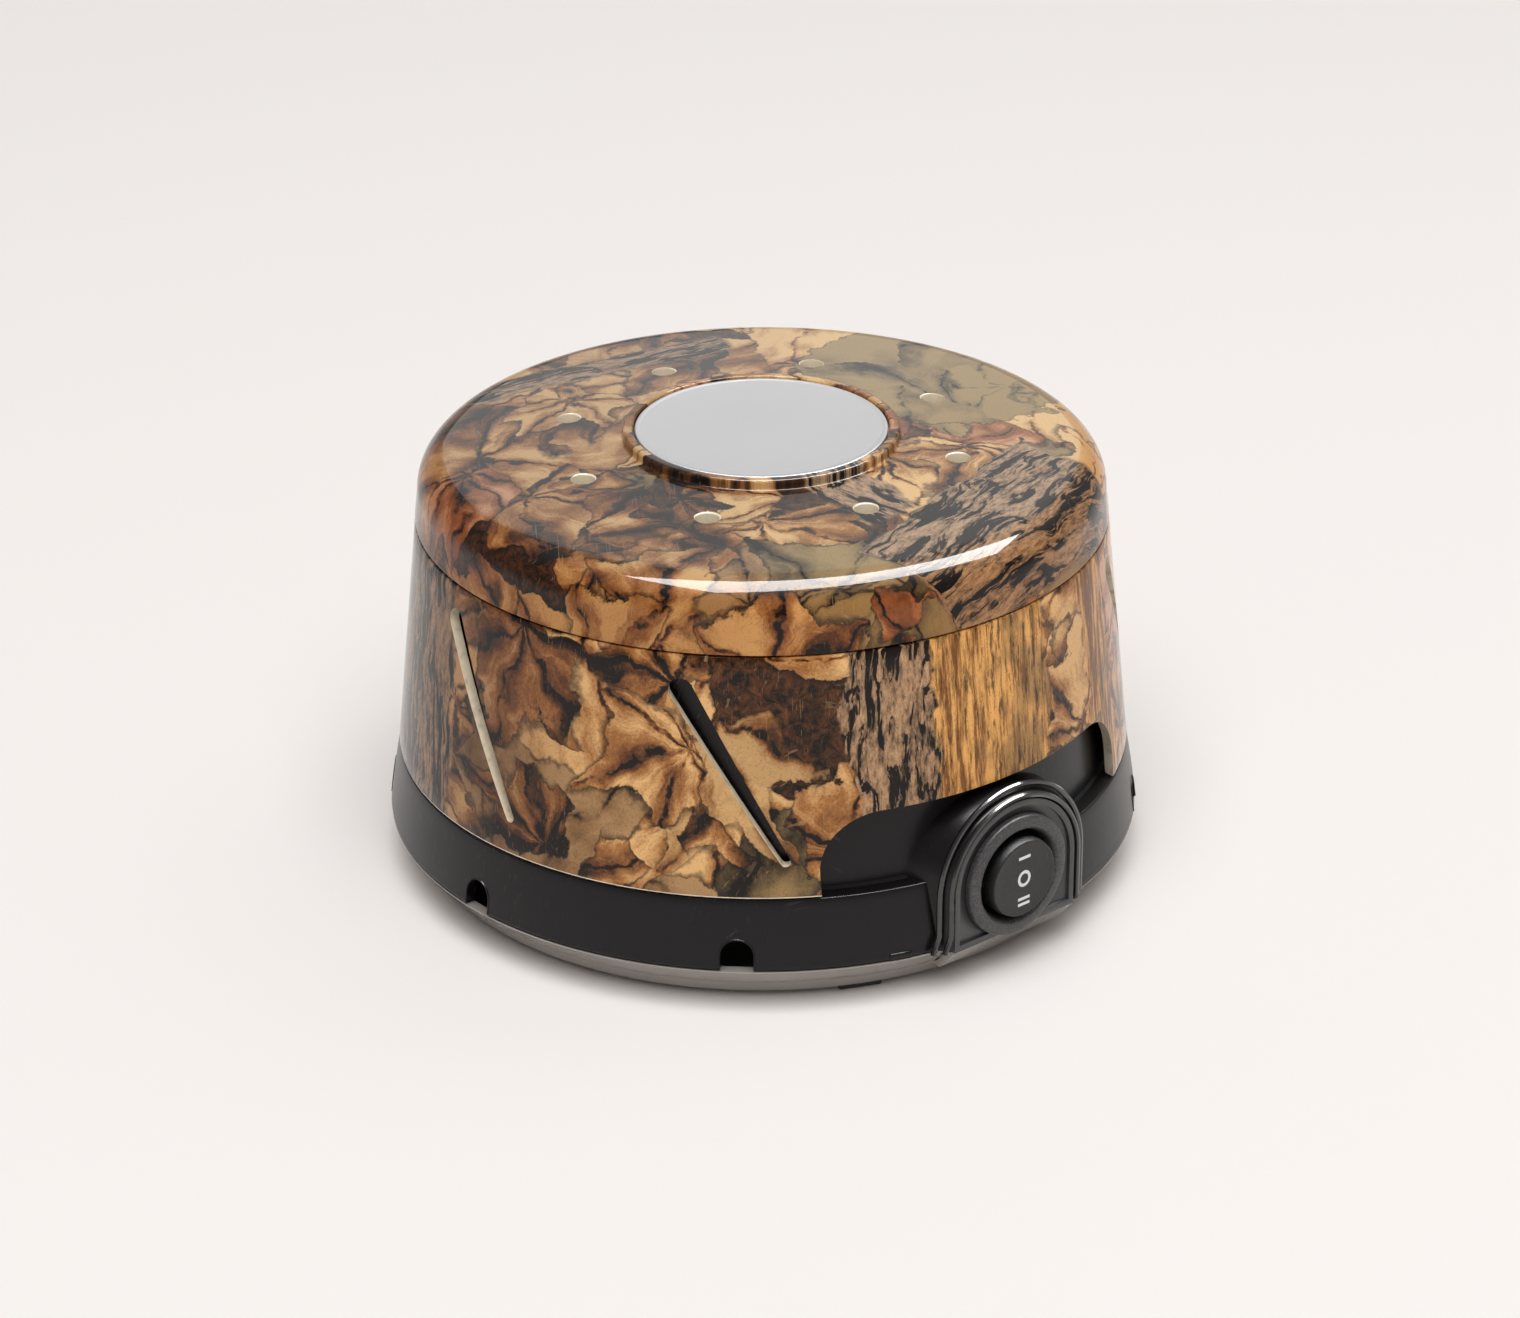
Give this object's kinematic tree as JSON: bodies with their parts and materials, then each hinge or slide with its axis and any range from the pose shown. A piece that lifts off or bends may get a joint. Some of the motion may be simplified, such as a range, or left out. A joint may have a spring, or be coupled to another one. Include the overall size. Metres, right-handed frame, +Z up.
{
  "type": "fan sound machine",
  "caption": "Round tabletop fan sound machine: printed turning cap and slotted collar over a black base with a round rocker switch, motor and fan inside.",
  "frame": {"origin": "on the surface it stands on, under the centre of the base and on the fan's axis", "axes": "+Z up along the fan's axis, the rocker switch faces -Y, +X to the right seen from the switch"},
  "size_m": [0.146, 0.1509, 0.0857],
  "materials": {
    "black_plastic": "satin black moulding",
    "panel_plastic": "fine textured dark grey",
    "switch_plastic": "grained black",
    "printed_plastic": "woodland print under a clear gloss coat",
    "badge_metal": "plain satin silver",
    "steel": "bright",
    "iron": "laminated electrical steel",
    "copper": "copper",
    "brass": "plated blades",
    "bronze": "sintered bronze",
    "zinc": "zinc plated strap",
    "bobbin_plastic": "natural nylon",
    "fan_plastic": "natural moulding",
    "rubber": "moulded rubber",
    "lead_sheath": "insulated stranded wire"
  },
  "bodies": {
    "base": {"housing": "black_plastic", "base_pan": "black_plastic", "foot_1": "rubber", "foot_2": "rubber", "foot_3": "rubber", "foot_4": "rubber", "base_screw_1": "steel", "base_screw_2": "steel", "base_screw_3": "steel", "base_screw_4": "steel", "switch_panel": "panel_plastic", "switch_body": "switch_plastic", "rocker_pin": "steel", "switch_terminal_1": "brass", "switch_terminal_2": "brass", "switch_terminal_3": "brass", "cord_grommet": "rubber", "stator_stack": "iron", "shading_ring_1": "copper", "shading_ring_2": "copper", "coil_bobbin": "bobbin_plastic", "coil_winding": "copper", "lower_bracket": "zinc", "upper_bracket": "zinc", "lower_bush": "bronze", "upper_bush": "bronze", "isolator_left": "rubber", "isolator_right": "rubber", "motor_screw_left": "steel", "motor_screw_right": "steel", "motor_lead_1": "lead_sheath", "motor_lead_2": "lead_sheath"},
    "cap": {"cap": "printed_plastic", "badge_disc": "badge_metal", "cap_retainer": "steel"},
    "collar": {"collar": "printed_plastic"},
    "rocker": {"switch_rocker": "switch_plastic"},
    "fan": {"motor_shaft": "steel", "rotor": "iron", "fan_wheel": "fan_plastic", "fan_clip": "steel"}
  },
  "joints": [
    {"name": "cap_turn", "type": "hinge", "parent": "base", "child": "cap", "pos_m": [0, 0, 0.077], "axis": [0, 0, 1], "range_deg": [-15, 15]},
    {"name": "collar_turn", "type": "hinge", "parent": "base", "child": "collar", "pos_m": [0, 0, 0.0225], "axis": [0, 0, 1], "range_deg": [-13, 13]},
    {"name": "rocker_tilt", "type": "hinge", "parent": "base", "child": "rocker", "pos_m": [0, -0.0714, 0.0195], "axis": [1, 0, 0], "range_deg": [-10, 10]},
    {"name": "fan_spin", "type": "hinge", "parent": "base", "child": "fan", "pos_m": [0, 0, 0.04], "axis": [0, 0, 1], "continuous": true}
  ]
}
